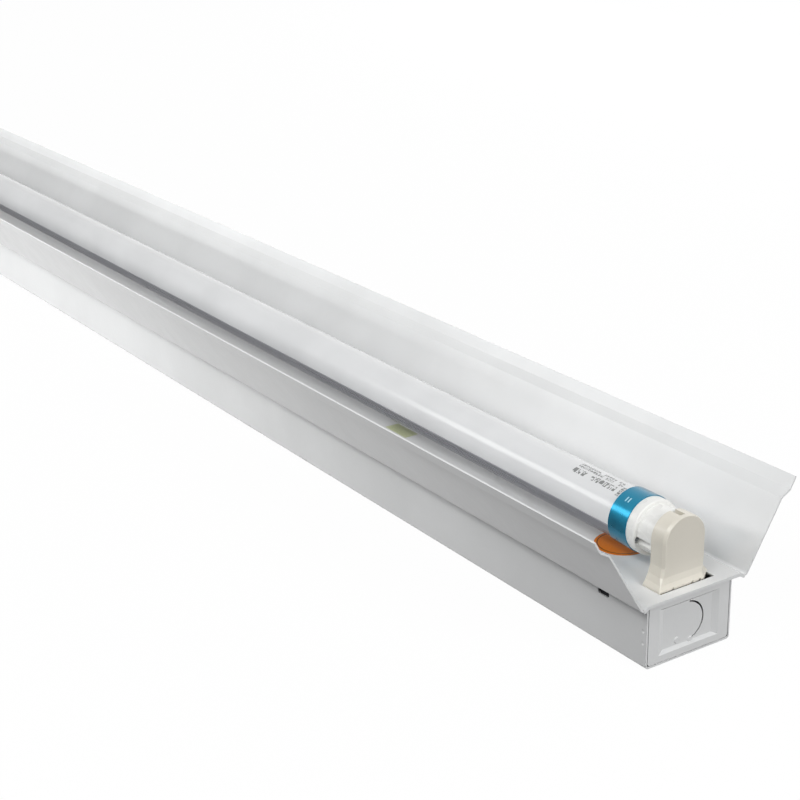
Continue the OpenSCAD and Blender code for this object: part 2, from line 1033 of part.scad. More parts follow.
module cap() {
    recess_in = reflector_over + cap_neck_len + screw_recess_depth;
    spigot_r = tube_r - diffuser_wall - spigot_gap;
    color(opal_white)
        difference() {
            union() {
                translate([lamp_half, 0, lamp_z])
                    rotate([0, -90, 0])
                        rotate_extrude($fn = 2 * round_fn)
                            polygon(cap_profile());
                along_x(tube_half - spigot_len, reflector_half - ring_in)
                    translate([0, lamp_z])
                        intersection() {
                            difference() {
                                circle(r = spigot_r, $fn = 2 * round_fn);
                                circle(r = spigot_r - spigot_t, $fn = 2 * round_fn);
                            }
                            above(split_drop - spigot_rise);
                        }
            }
            for (side = [-1, 1]) {
                end_rod(
                    reflector_over - over, reflector_over + cap_floor + over,
                    pin_d / 2 + seat, side * pin_gap / 2, lamp_z, small_fn
                );
                end_rod(
                    reflector_over - over, recess_in,
                    screw_recess_r, side * screw_y, lamp_z - screw_drop, small_fn
                );
                end_rod(
                    recess_in - over, tube_in + over,
                    screw_r + seat, side * screw_y, lamp_z - screw_drop, small_fn
                );
            }
        }
}

module cap_screws() {
    seat_in = reflector_over + cap_neck_len + screw_recess_depth;
    cross_len = 2 * screw_head_r - 2 * screw_cross_w;
    color("lightgray")
        for (side = [-1, 1])
            difference() {
                union() {
                    end_rod(
                        seat_in - screw_head_t, seat_in,
                        screw_head_r, side * screw_y, lamp_z - screw_drop, small_fn
                    );
                    end_rod(
                        seat_in - screw_head_t / 2, seat_in + screw_len,
                        screw_r, side * screw_y, lamp_z - screw_drop, small_fn
                    );
                }
                for (turn = [0, 90])
                    from_end(seat_in - screw_head_t)
                        translate([0, side * screw_y, lamp_z - screw_drop])
                            rotate([turn, 0, 0])
                                cube([screw_head_t, cross_len, screw_cross_w], center = true);
            }
}

module pins() {
    depth = pin_len + cap_floor + pin_root;
    color("gold")
        for (side = [-1, 1])
            from_end(pin_tip)
                translate([0, side * pin_gap / 2, lamp_z])
                    rotate([0, -90, 0])
                        rotate_extrude($fn = small_fn)
                            polygon([
                                [0, 0], [pin_d / 3, 0], [pin_d / 2, pin_d / 4], [pin_d / 2, depth], [0, depth]
                            ]);
}

module ring_near() {
    ring();
}

module ring_far() {
    far_end()
        ring();
}

module cap_near() {
    cap();
}

module cap_far() {
    far_end()
        cap();
}

module cap_screws_near() {
    cap_screws();
}

module cap_screws_far() {
    far_end()
        cap_screws();
}

module pins_near() {
    pins();
}

module pins_far() {
    far_end()
        pins();
}

// Leads: a path with rounded corners, swept by a ring of points

function bend_at(a, b, c) =
    let (
        start = b + min(lead_bend, bend_share * norm(a - b)) * heading(b, a),
        end = b + min(lead_bend, bend_share * norm(c - b)) * heading(b, c)
    )
    [
        for (i = [0 : lead_bend_steps])
            let (t = i / lead_bend_steps)
            (1 - t) * (1 - t) * start + 2 * t * (1 - t) * b + t * t * end
    ];

function rounded_path(points) = concat(
    [points[0]],
    [for (i = [1 : len(points) - 2]) for (p = bend_at(points[i - 1], points[i], points[i + 1])) p],
    [points[len(points) - 1]]
);

// Direction of a path at one of its points
function tangent(path, i) =
    let (
        last = len(path) - 1,
        before = heading(path[max(i - 1, 0)], path[max(i, 1)]),
        after = heading(path[min(i, last - 1)], path[min(i + 1, last)])
    )
    (before + after) / norm(before + after);

// Normals carried along a path without twist
function carried(path, normals) =
    len(normals) == len(path)
        ? normals
        : let (
            i = len(normals),
            t = tangent(path, i),
            n = normals[i - 1] - (normals[i - 1] * t) * t
        )
        carried(path, concat(normals, [n / norm(n)]));

module lead(points, r) {
    path = rounded_path(points);
    count = len(path);
    first = cross(tangent(path, 0), [0, 0, 1]);
    normals = carried(path, [first / norm(first)]);
    ring_points = [
        for (i = [0 : count - 1])
            let (n = normals[i], b = cross(tangent(path, i), n))
            for (k = [0 : lead_sides - 1])
                let (a = 360 * k / lead_sides)
                path[i] + r * (cos(a) * n + sin(a) * b)
    ];
    sides = [
        for (i = [0 : count - 2])
            for (k = [0 : lead_sides - 1])
                let (
                    a = i * lead_sides + k,
                    b = i * lead_sides + (k + 1) % lead_sides
                )
                for (face = [[a, a + lead_sides, b + lead_sides], [a, b + lead_sides, b]])
                    face
    ];
    start = [for (k = [0 : lead_sides - 1]) k];
    end = [for (k = [lead_sides - 1 : -1 : 0]) (count - 1) * lead_sides + k];
    polyhedron(points = ring_points, faces = concat(sides, [start, end]));
}

module earth_lead() {
    barrel_z = spine_t + tag_barrel_r;
    color("yellowgreen")
        lead([
            [terminal_end - lead_tip, 0, terminal_bore_z],
            [terminal_end + lead_bend / 2, 0, terminal_bore_z],
            [tag_start - lead_bend / 2, earth_y, barrel_z],
            [tag_start + tag_barrel_len, earth_y, barrel_z]
        ], lead_r);
}

module live_lead() {
    color("saddlebrown")
        lead([
            [terminal_end - lead_tip, -terminal_pitch, terminal_bore_z],
            [terminal_end + lead_bend, -terminal_pitch, terminal_bore_z],
            [terminal_end + 3 * lead_bend, live_y, lead_z],
            [contact_mid_x - holder_lead_rise, live_y, lead_z],
            [contact_mid_x, -contact_mid_y, lead_z + lead_bend],
            [contact_mid_x, -contact_mid_y, contact_low]
        ], lead_r);
}

module neutral_lead() {
    color("steelblue")
        lead([
            [terminal_end - lead_tip, terminal_pitch, terminal_bore_z],
            [terminal_end + lead_bend, terminal_pitch, terminal_bore_z],
            [terminal_end + lead_turn, (terminal_pitch + neutral_y) / 2, (terminal_bore_z + lead_z) / 2],
            [terminal_end + lead_bend / 2, neutral_y, lead_z],
            [-contact_mid_x + holder_lead_rise, neutral_y, lead_z],
            [-contact_mid_x, contact_mid_y, lead_z + lead_bend],
            [-contact_mid_x, contact_mid_y, contact_low]
        ], lead_r);
}

module lead_clip(x, y) {
    difference() {
        translate([x - saddle_len / 2, y - saddle_side, spine_t])
            cube([saddle_len, 2 * saddle_side, saddle_h]);
        translate([x - saddle_len / 2 - over, y, lead_z])
            rotate([0, 90, 0])
                cylinder(h = saddle_len + 2 * over, r = lead_r + seat, $fn = small_fn);
    }
}

module lead_clips() {
    start = reflector_half - saddle_end;
    count = floor((start - earth_x - saddle_end) / clip_pitch);
    color("gainsboro")
        for (i = [0 : count]) {
            lead_clip(start - i * clip_pitch, live_y);
            lead_clip(-start + i * clip_pitch, neutral_y);
        }
}

// Leads inside the lamp, from the pins of each cap to the driver board
module lamp_leads() {
    pin_end = reflector_half - reflector_over - cap_floor - pin_root - lead_gap;
    board_end = tube_half - driver_end;
    color("firebrick")
        for (side = [-1, 1]) {
            lead([
                [pin_end, side * pin_gap / 2, lamp_z],
                [pin_end - lamp_lead_run / 3, side * pin_gap / 2, lamp_z],
                [pin_end - lamp_lead_run, side * lamp_lead_y, lamp_lead_z],
                [board_end - lamp_lead_lap, side * lamp_lead_y, lamp_lead_z]
            ], lamp_lead_r);
            lead([
                [-pin_end, side * pin_gap / 2, lamp_z],
                [-pin_end + lamp_lead_run / 3, side * pin_gap / 2, lamp_z],
                [-pin_end + lamp_lead_run, side * lamp_lead_y, lamp_lead_z],
                [board_end - driver_len + lamp_lead_lap, side * lamp_lead_y, lamp_lead_z]
            ], lamp_lead_r);
        }
}

// Supply: grommet, terminal block and earth point

module cable_grommet() {
    color("darkslategray")
        difference() {
            union() {
                translate([0, 0, seat])
                    cylinder(h = spine_t + grommet_t - seat, d = cable_hole_d - 2 * seat, $fn = round_fn);
                translate([0, 0, spine_t])
                    cylinder(h = grommet_t, r = cable_hole_d / 2 + grommet_lip, $fn = round_fn);
            }
            translate([0, 0, -over])
                cylinder(h = spine_t + grommet_t + 2 * over, r = grommet_bore_r, $fn = round_fn);
        }
}

module terminal_rod(end, r, y) {
    translate([terminal_x + end, y, terminal_bore_z])
        rotate([0, 90, 0])
            cylinder(h = terminal_l - 2 * end, r = r, $fn = small_fn);
}

module terminal_post(x, y, z0, z1, r) {
    translate([x, y, z0])
        cylinder(h = z1 - z0, r = r, $fn = small_fn);
}

module terminal_block() {
    well_z = terminal_top - terminal_well;
    color("ghostwhite")
        difference() {
            translate([terminal_x, -terminal_w / 2, spine_t])
                cube([terminal_l, terminal_w, terminal_h]);
            for (pole = [-1 : 1]) {
                y = pole * terminal_pitch;
                terminal_rod(-over, terminal_tube_r + seat, y);
                for (side = [-1, 1]) {
                    x = terminal_mid + side * terminal_screw_off;
                    terminal_post(x, y, well_z, terminal_top + over, terminal_well_r);
                    terminal_post(x, y, terminal_bore_z, well_z + over, terminal_screw_r + seat);
                }
            }
            for (side = [-1, 1]) {
                y = side * terminal_pitch / 2;
                terminal_post(terminal_mid, y, well_z, terminal_top + over, terminal_well_r);
                terminal_post(terminal_mid, y, spine_t - over, well_z + over, terminal_screw_r + seat);
                for (end = [terminal_x, terminal_end])
                    translate([end - terminal_notch, y - terminal_notch / 2, spine_t - over])
                        cube([2 * terminal_notch, terminal_notch, terminal_h + 2 * over]);
            }
        }
}

module terminal_tubes() {
    color("gold")
        for (pole = [-1 : 1])
            difference() {
                y = pole * terminal_pitch;
                terminal_rod(terminal_tube_end, terminal_tube_r, y);
                terminal_rod(terminal_tube_end - over, terminal_tube_r - terminal_tube_wall, y);
                for (side = [-1, 1])
                    terminal_post(
                        terminal_mid + side * terminal_screw_off, y,
                        terminal_bore_z, terminal_top, terminal_screw_r + seat
                    );
            }
}

// A slotted screw that stands upright
module upright_screw(x, y, z0, z1, r, head_r, head_t, slot_w, slot_depth) {
    difference() {
        union() {
            terminal_post(x, y, z0, z1 + head_t / 2, r);
            terminal_post(x, y, z1, z1 + head_t, head_r);
        }
        translate([x - head_r - over, y - slot_w / 2, z1 + head_t - slot_depth])
            cube([2 * (head_r + over), slot_w, slot_depth + over]);
    }
}

module terminal_screws() {
    color("silver")
        for (pole = [-1 : 1])
            for (side = [-1, 1])
                upright_screw(
                    terminal_mid + side * terminal_screw_off, pole * terminal_pitch,
                    terminal_bore_z + lead_r + terminal_tip_gap, terminal_top - terminal_well,
                    terminal_screw_r, terminal_head_r, terminal_head_t, screw_cross_w, screw_cross_w
                );
}

module terminal_fixings() {
    color("silver")
        for (side = [-1, 1])
            upright_screw(
                terminal_mid, side * terminal_pitch / 2,
                seat, terminal_top - terminal_well,
                terminal_screw_r, terminal_head_r, terminal_head_t, screw_cross_w, screw_cross_w
            );
}

module earth_screw() {
    color("silver")
        upright_screw(
            earth_x, earth_y, seat, spine_t + tag_t + washer_t,
            earth_screw_r, earth_head_r, earth_head_h, earth_cross_w, earth_cross_depth
        );
}

module earth_washer() {
    color("silver")
        translate([earth_x, earth_y, spine_t + tag_t])
            difference() {
                cylinder(h = washer_t, r = washer_r, $fn = small_fn);
                translate([0, 0, -over])
                    cylinder(h = washer_t + 2 * over, r = earth_screw_r + seat, $fn = small_fn);
            }
}

module earth_tag() {
    barrel_z = spine_t + tag_barrel_r;
    color("lightgray")
        difference() {
            union() {
                terminal_post(earth_x, earth_y, spine_t, spine_t + tag_t, tag_r);
                translate([tag_start, earth_y - tag_barrel_r, spine_t])
                    cube([tag_len, 2 * tag_barrel_r, tag_t]);
                translate([tag_start, earth_y, barrel_z])
                    rotate([0, 90, 0])
                        cylinder(h = tag_barrel_len, r = tag_barrel_r, $fn = small_fn);
            }
            terminal_post(earth_x, earth_y, spine_t - over, spine_t + tag_t + over, earth_screw_r + seat);
            translate([tag_start - over, earth_y, barrel_z])
                rotate([0, 90, 0])
                    cylinder(h = tag_barrel_len + 2 * over, r = lead_r + seat, $fn = small_fn);
        }
}

spine_channel();
end_plate_near();
end_plate_far();
cable_grommet();
terminal_block();
terminal_tubes();
terminal_screws();
terminal_fixings();
earth_screw();
earth_washer();
earth_tag();
earth_lead();
live_lead();
neutral_lead();
lead_clips();
reflector();
reflector_clips();
round_label();
small_label();
holder_body_near();
holder_body_far();
holder_cover_near();
holder_cover_far();
holder_contacts_near();
holder_contacts_far();
rotor_near();
rotor_far();
lamp_heatsink();
lamp_diffuser();
led_board();
led_chips();
driver_board();
driver_parts();
lamp_leads();
ring_near();
ring_far();
cap_near();
cap_far();
cap_screws_near();
cap_screws_far();
pins_near();
pins_far();
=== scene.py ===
"""Looks of a batten luminaire with a winged reflector and one LED tube lamp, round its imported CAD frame."""
import math

import bpy
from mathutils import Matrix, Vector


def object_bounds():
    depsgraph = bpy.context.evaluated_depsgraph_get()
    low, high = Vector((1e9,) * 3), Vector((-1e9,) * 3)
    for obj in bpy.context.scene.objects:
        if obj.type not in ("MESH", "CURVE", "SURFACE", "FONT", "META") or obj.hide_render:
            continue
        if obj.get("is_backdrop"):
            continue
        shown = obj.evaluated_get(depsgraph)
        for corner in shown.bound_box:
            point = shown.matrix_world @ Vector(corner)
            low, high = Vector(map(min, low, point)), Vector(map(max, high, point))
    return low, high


# Places on the part, in metres: its near end along X, and the height of the lamp's axis
HALF = 0.7675
LAMP_Z = 0.053

# Prints on the tube: start and end along their rows, low and high across them, the number of rows,
# the length of a mark and the share of its dots that are inked. Rows run along X in metres, and across
# it in degrees round the lamp. The turned print has these the other way round.
BOLD_PRINT = (HALF - 0.079, HALF - 0.0495, 103.0, 121.0, 1, 0.0031, 0.72)
SMALL_PRINT = (HALF - 0.079, HALF - 0.0485, 82.0, 101.0, 2, 0.0018, 0.74)
TURNED_PRINT = (92.0, 124.0, HALF - 0.0476, HALF - 0.0450, 1, 6.0, 0.74)
PRINT_DOTS = 4.0  # dots of a mark, in each direction
PRINT_WORDS = 0.86  # share of the marks that are there
PRINT_ROW = (0.12, 0.88)  # part of a row's height that holds ink
PRINT_MARK = (0.1, 0.9)  # part of a mark's length that holds ink
PRINT_INK = 0.8
PRINT_GREY = (74, 76, 74)

# Bars on the near ring: their starts and ends along X, their angles round the lamp and their colour
RING_BARS = ((HALF - 0.0391, HALF - 0.0384), (HALF - 0.0373, HALF - 0.0366))
RING_BAR_ANGLES = (116.0, 127.0)
RING_BAR_PALE = (190, 225, 238)

# Circle printed on the orange label: its centre in X and Y, its radii and its colour
LABEL_CIRCLE = (HALF - 0.0545, 0.0045, 0.0112, 0.0118, (120, 70, 30))

# Camera: its place, its turn in radians, its lens and sensor in millimetres, and how near and far it sees
CAMERA_PLACE = (1.26275, -0.48121, 0.38584)
CAMERA_TURN = (1.204022, 0.018792, 0.979009)
CAMERA_LENS = 77.98
CAMERA_SENSOR = 36.0
CAMERA_CLIP = (0.02, 50.0)

# Floor: its size and how far it lies below the part, the colour that lights the part, the colour that
# shows, and how far it glows white where it shows. World: strength and colour of its even light.
FLOOR_SIZE = 14.0
FLOOR_DROP = 0.0005
FLOOR_BOUNCE = (72, 72, 74)
FLOOR_SHOWN = (250, 250, 250)
FLOOR_GLOW = 0.97
WORLD_FILL = 0.05
WORLD_TINT = (0.93, 0.96, 1.0, 1)

# Softboxes: place, target and size in metres, power in watts, and a narrow one's spread in degrees
LIGHTS = {
    "key": ((-0.70, -1.25, 0.84), (-0.60, 0.0, 0.05), (1.0, 0.5), 4.4),
    "side_high": ((0.80, -1.0, 1.15), (0.60, 0.0, 0.05), (1.2, 0.5), 11.5),
    "side_low": ((0.12, -1.0, 0.14), (0.05, 0.0, 0.03), (0.6, 0.2), 1.1, 70.0),
    "top_near": ((0.9, -0.1, 1.5), (0.7, 0.0, 0.05), (1.4, 1.6), 2.5),
    "end": ((2.3, 0.2, 0.4), (0.76, 0.0, 0.02), (0.8, 0.6), 2.5),
    "end_high": ((2.0, 0.25, 0.9), (0.76, 0.0, 0.03), (0.7, 0.6), 13.0),
    "end_left": ((1.9, -0.7, 0.7), (0.72, 0.0, 0.03), (0.8, 0.8), 1.0),
    "far_end": ((-2.3, -0.2, 0.4), (-0.76, 0.0, 0.02), (0.8, 0.6), 3.5),
    "far_end_high": ((-2.0, -0.25, 0.9), (-0.76, 0.0, 0.03), (0.7, 0.6), 8.0),
    "rear": ((-0.2, 1.6, 0.6), (-0.1, 0.0, 0.03), (2.0, 0.6), 13.0),
    "rear_low": ((0.0, 1.2, 0.3), (0.0, 0.0, 0.03), (2.0, 0.4), 5.0),
}
FILL_ONLY = ("end", "far_end", "far_end_high", "rear", "rear_low")  # soft fills that leave no highlight

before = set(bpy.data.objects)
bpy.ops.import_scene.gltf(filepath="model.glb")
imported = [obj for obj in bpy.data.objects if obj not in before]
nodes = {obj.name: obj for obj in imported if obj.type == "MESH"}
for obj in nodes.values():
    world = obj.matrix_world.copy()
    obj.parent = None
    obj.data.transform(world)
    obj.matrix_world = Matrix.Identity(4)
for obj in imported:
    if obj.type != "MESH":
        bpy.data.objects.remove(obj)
cad_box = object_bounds()


def plain(value):
    """Vectors and nested lists as plain lists of numbers."""
    return float(value) if isinstance(value, (int, float)) else [plain(part) for part in value]


def linear(r, g, b):
    """A colour as it is seen on screen, 0 to 255, as the linear values that shaders take."""
    def one(v):
        v /= 255.0
        return v / 12.92 if v <= 0.04045 else ((v + 0.055) / 1.055) ** 2.4
    return one(r), one(g), one(b), 1.0


class Shade:
    """A node material with short calls for the nodes that it is built from."""

    def __init__(self, name):
        self.mat = bpy.data.materials.new(name)
        self.mat.use_nodes = True
        self.tree = self.mat.node_tree
        self.tree.nodes.clear()
        self.out = self.tree.nodes.new("ShaderNodeOutputMaterial")
        self.bsdf = self.tree.nodes.new("ShaderNodeBsdfPrincipled")
        self.link(self.bsdf.outputs[0], self.out.inputs[0])
        self.place = self.tree.nodes.new("ShaderNodeTexCoord").outputs["Object"]
        self.mat.diffuse_color = (0.8, 0.8, 0.8, 1)

    def link(self, a, b):
        self.tree.links.new(a, b)

    def put(self, socket, value):
        """Links a socket's output to an input, or sets a plain value on it."""
        if isinstance(value, bpy.types.NodeSocket):
            self.link(value, socket)
        else:
            socket.default_value = value

    def set(self, **values):
        for name, value in values.items():
            self.put(self.bsdf.inputs[name.replace("_", " ")], value)
        return self

    def math(self, operation, a, b=0.0):
        node = self.tree.nodes.new("ShaderNodeMath")
        node.operation = operation
        for socket, value in zip(node.inputs, (a, b)):
            self.put(socket, value)
        return node.outputs[0]

    def axes(self):
        node = self.tree.nodes.new("ShaderNodeSeparateXYZ")
        self.link(self.place, node.inputs[0])
        return node.outputs

    def stretched(self, x, y, z):
        node = self.tree.nodes.new("ShaderNodeMapping")
        self.link(self.place, node.inputs[0])
        node.inputs["Scale"].default_value = (x, y, z)
        return node.outputs[0]

    def noise(self, scale, detail=2.0, roughness=0.5, vector=None):
        node = self.tree.nodes.new("ShaderNodeTexNoise")
        self.link(vector or self.place, node.inputs["Vector"])
        node.inputs["Scale"].default_value = scale
        node.inputs["Detail"].default_value = detail
        node.inputs["Roughness"].default_value = roughness
        return node.outputs["Fac"]

    def span(self, value, low, high, to_low=0.0, to_high=1.0):
        node = self.tree.nodes.new("ShaderNodeMapRange")
        node.interpolation_type = "SMOOTHSTEP"
        self.put(node.inputs["Value"], value)
        limits = {"From Min": low, "From Max": high, "To Min": to_low, "To Max": to_high}
        for name, number in limits.items():
            node.inputs[name].default_value = number
        return node.outputs["Result"]

    def between(self, value, low, high):
        """1 where a value lies between two limits, else 0."""
        above = self.math("GREATER_THAN", value, low)
        below = self.math("LESS_THAN", value, high)
        return self.math("MULTIPLY", above, below)

    def mix(self, share, a, b):
        node = self.tree.nodes.new("ShaderNodeMix")
        node.data_type = "RGBA"
        self.put(node.inputs["Factor"], share)
        self.put(node.inputs[6], a)
        self.put(node.inputs[7], b)
        return node.outputs[2]

    def bump(self, height, distance, strength):
        node = self.tree.nodes.new("ShaderNodeBump")
        node.inputs["Distance"].default_value = distance
        node.inputs["Strength"].default_value = strength
        self.link(height, node.inputs["Height"])
        self.link(node.outputs[0], self.bsdf.inputs["Normal"])


def painted():
    """Glossy white powder coat: orange peel that breaks up its reflections, and a faint clouding."""
    s = Shade("white_powder_coat")
    cloud = s.noise(14.0, 3.0)
    s.set(Base_Color=s.mix(s.span(cloud, 0.3, 0.7), linear(224, 225, 225), linear(231, 232, 232)))
    s.set(Roughness=s.span(s.noise(60.0, 2.0), 0.2, 0.8, 0.15, 0.22))
    peel = s.math("ADD", s.noise(420.0, 2.0), s.math("MULTIPLY", s.noise(90.0, 1.0), 1.6))
    s.bump(peel, 0.00016, 0.30)
    return s.mat


def moulded(name, low, high, roughness, grain=700.0, depth=0.00003):
    """A moulded plastic: two close tones, a fine grain and slow flow marks."""
    s = Shade(name)
    flow = s.noise(30.0, 3.0, vector=s.stretched(1.0, 1.0, 0.4))
    s.set(Base_Color=s.mix(s.span(flow, 0.2, 0.8), linear(*low), linear(*high)))
    s.set(Roughness=s.span(s.noise(160.0, 3.0), 0.1, 0.9, roughness - 0.03, roughness + 0.03))
    s.bump(s.noise(grain, 2.0), depth, 0.3)
    return s


def drawn_metal(name, low, high, roughness, stretch, metallic=1.0):
    """A metal with fine lines in one direction."""
    s = Shade(name)
    lines = s.noise(1.0, 3.0, 0.6, vector=s.stretched(*stretch))
    s.set(Base_Color=s.mix(s.span(lines, 0.3, 0.7), linear(*low), linear(*high)), Metallic=metallic)
    s.set(Roughness=s.span(lines, 0.2, 0.8, roughness - 0.06, roughness + 0.08))
    s.bump(lines, 0.00003, 0.5)
    return s


def angle_round_lamp(s, x_y_z):
    """Angle round the lamp in degrees, from +Y through +Z."""
    up = s.math("SUBTRACT", x_y_z[2], LAMP_Z)
    return s.math("MULTIPLY", s.math("ARCTAN2", up, x_y_z[1]), 180.0 / math.pi)


def print_block(s, along, across, block):
    """Rows of marks with no meaning: each is a random cluster of dots, with gaps like those of words."""
    start, end, low, high, rows, pitch, fill = block
    inside = s.math("MULTIPLY", s.between(along, start, end), s.between(across, low, high))
    row = s.math("MULTIPLY", s.math("SUBTRACT", across, low), rows / (high - low))
    cell = s.math("MULTIPLY", along, 1.0 / pitch)

    def chance(parts):
        spot = s.tree.nodes.new("ShaderNodeCombineXYZ")
        s.link(s.math("FLOOR", s.math("MULTIPLY", cell, parts)), spot.inputs[0])
        s.link(s.math("FLOOR", s.math("MULTIPLY", row, parts)), spot.inputs[1])
        noise = s.tree.nodes.new("ShaderNodeTexWhiteNoise")
        noise.noise_dimensions = "2D"
        s.link(spot.outputs[0], noise.inputs["Vector"])
        return noise.outputs["Value"]

    dots = s.math("LESS_THAN", chance(PRINT_DOTS), fill)
    words = s.math("LESS_THAN", chance(1.0), PRINT_WORDS)
    in_row = s.between(s.math("FRACT", row), *PRINT_ROW)
    in_cell = s.between(s.math("FRACT", cell), *PRINT_MARK)
    marks = s.math("MULTIPLY", s.math("MULTIPLY", in_row, in_cell), s.math("MULTIPLY", dots, words))
    return s.math("MULTIPLY", marks, inside)


def opal():
    """Opal diffuser, milky and smooth, with a block of plain printed marks beside the near ring."""
    s = Shade("opal_diffuser")
    xyz = s.axes()
    angle = angle_round_lamp(s, xyz)
    bold = print_block(s, xyz[0], angle, BOLD_PRINT)
    small = print_block(s, xyz[0], angle, SMALL_PRINT)
    turned = print_block(s, angle, xyz[0], TURNED_PRINT)
    ink = s.math("MAXIMUM", bold, s.math("MAXIMUM", small, turned))
    milk = s.mix(s.span(s.noise(22.0, 2.0), 0.3, 0.7), linear(221, 222, 223), linear(229, 230, 231))
    s.set(Base_Color=s.mix(s.math("MULTIPLY", ink, PRINT_INK), milk, linear(*PRINT_GREY)))
    s.set(Roughness=s.span(s.noise(90.0), 0.2, 0.8, 0.13, 0.18))
    s.set(Coat_Weight=0.2, Coat_Roughness=0.08)
    s.bump(s.noise(200.0, 1.0, vector=s.stretched(0.1, 1.0, 1.0)), 0.00001, 0.3)
    return s.mat


def blue_ring():
    """Glossy blue end ring with two small pale bars printed on it."""
    s = Shade("blue_ring")
    xyz = s.axes()
    angle = angle_round_lamp(s, xyz)
    first, second = (s.math("MULTIPLY", s.between(xyz[0], start, end), s.between(angle, *RING_BAR_ANGLES))
                     for start, end in RING_BARS)
    bars = s.math("MAXIMUM", first, second)
    blue = s.mix(s.span(s.noise(60.0), 0.3, 0.7), linear(2, 122, 154), linear(6, 130, 164))
    s.set(Base_Color=s.mix(s.math("MULTIPLY", bars, 0.8), blue, linear(*RING_BAR_PALE)))
    s.set(Roughness=s.span(s.noise(200.0), 0.2, 0.8, 0.20, 0.28))
    s.set(Metallic=1.0, Coat_Weight=0.5, Coat_Roughness=0.15)
    s.bump(s.noise(1.0, 2.0, vector=s.stretched(900.0, 60.0, 60.0)), 0.00002, 0.4)
    return s.mat


def label(name, low, high, circle=None):
    """Coated paper, matt, with an optional darker circle printed near its edge."""
    s = Shade(name)
    fibre = s.noise(1400.0, 3.0)
    tone = s.mix(s.span(fibre, 0.3, 0.7), linear(*low), linear(*high))
    if circle:
        x, y, inner, outer, ink = circle
        xyz = s.axes()
        dx, dy = s.math("SUBTRACT", xyz[0], x), s.math("SUBTRACT", xyz[1], y)
        r = s.math("SQRT", s.math("ADD", s.math("MULTIPLY", dx, dx), s.math("MULTIPLY", dy, dy)))
        tone = s.mix(s.between(r, inner, outer), tone, linear(*ink))
    s.set(Base_Color=tone)
    s.set(Roughness=s.span(s.noise(300.0), 0.2, 0.8, 0.48, 0.6), Specular_IOR_Level=0.25)
    s.bump(fibre, 0.00003, 0.4)
    return s.mat


def sleeve(name, main, stripe=None):
    """Insulation of a lead, with an optional stripe wound round it."""
    s = Shade(name)
    lighter = [v + 12 for v in main]
    tone = s.mix(s.span(s.noise(150.0), 0.3, 0.7), linear(*main), linear(*lighter))
    if stripe:
        band = s.math("FRACT", s.math("MULTIPLY", s.axes()[0], 160.0))
        tone = s.mix(s.math("GREATER_THAN", band, 0.5), tone, linear(*stripe))
    s.set(Base_Color=tone, Roughness=s.span(s.noise(400.0), 0.2, 0.8, 0.36, 0.46))
    s.bump(s.noise(700.0), 0.00003, 0.3)
    return s.mat


white = painted()
ivory = moulded("ivory_plastic", (214, 209, 196), (222, 217, 205), 0.30)
ivory.set(Coat_Weight=0.15, Coat_Roughness=0.2)
cap_white = moulded("cap_white_plastic", (232, 232, 229), (238, 238, 235), 0.28)
rotor_white = moulded("rotor_white_plastic", (226, 226, 222), (234, 234, 230), 0.38)
block_white = moulded("terminal_white_plastic", (216, 217, 214), (226, 227, 224), 0.42)
dark_plastic = moulded("dark_component_plastic", (38, 38, 40), (52, 52, 54), 0.45)
rubber = moulded("black_rubber", (30, 30, 31), (40, 40, 41), 0.62, 1200.0, 0.00006)
board_white = moulded("white_solder_mask", (222, 226, 222), (232, 235, 232), 0.36)
board_green = moulded("green_solder_mask", (20, 92, 56), (30, 112, 68), 0.30)
phosphor = moulded("phosphor_gel", (232, 214, 112), (240, 224, 130), 0.25)
alloy = drawn_metal("extruded_aluminium", (140, 140, 146), (160, 160, 166), 0.30, (3.0, 700.0, 700.0), 0.9)
brass = drawn_metal("brass", (196, 166, 96), (214, 186, 116), 0.28, (200.0, 200.0, 900.0))
zinc = drawn_metal("zinc_plated_steel", (164, 166, 168), (190, 192, 194), 0.30, (300.0, 300.0, 60.0))
# The reflector clips' steel is coloured near black: painted shade that stands in for the dark inside the clip
# slots.
clip_steel_painted_shade = drawn_metal("spring_steel_dark_as_painted_slot_shade", (34, 34, 37), (50, 50, 54), 0.36, (60.0, 700.0, 700.0))

FINISHES = {
    "spine_channel": white, "end_plate_near": white, "end_plate_far": white, "reflector": white,
    "cable_grommet": rubber.mat, "terminal_block": block_white.mat, "lead_clips": block_white.mat,
    "terminal_tubes": brass.mat, "terminal_screws": zinc.mat, "terminal_fixings": zinc.mat,
    "earth_screw": zinc.mat, "earth_washer": zinc.mat, "earth_tag": zinc.mat,
    "earth_lead": sleeve("earth_insulation", (70, 130, 50), (220, 200, 40)),
    "live_lead": sleeve("live_insulation", (112, 68, 40)),
    "neutral_lead": sleeve("neutral_insulation", (44, 92, 160)),
    "lamp_leads": sleeve("lamp_lead_insulation", (150, 40, 36)),
    "reflector_clips": clip_steel_painted_shade.mat,
    "round_label": label("orange_label", (214, 116, 14), (224, 126, 22), LABEL_CIRCLE),
    "small_label": label("yellow_green_label", (196, 202, 160), (206, 212, 172)),
    "lamp_heatsink": alloy.mat, "lamp_diffuser": opal(),
    "led_board": board_white.mat, "led_chips": phosphor.mat,
    "driver_board": board_green.mat, "driver_parts": dark_plastic.mat,
}
ring_blue = blue_ring()
for end in ("near", "far"):
    FINISHES["holder_body_" + end] = ivory.mat
    FINISHES["holder_cover_" + end] = ivory.mat
    FINISHES["holder_contacts_" + end] = brass.mat
    FINISHES["rotor_" + end] = rotor_white.mat
    FINISHES["ring_" + end] = ring_blue
    FINISHES["cap_" + end] = cap_white.mat
    FINISHES["cap_screws_" + end] = zinc.mat
    FINISHES["pins_" + end] = brass.mat

for name, node in nodes.items():
    for slot in node.material_slots:
        slot.material = FINISHES[name]


# Floor, backdrop and lights

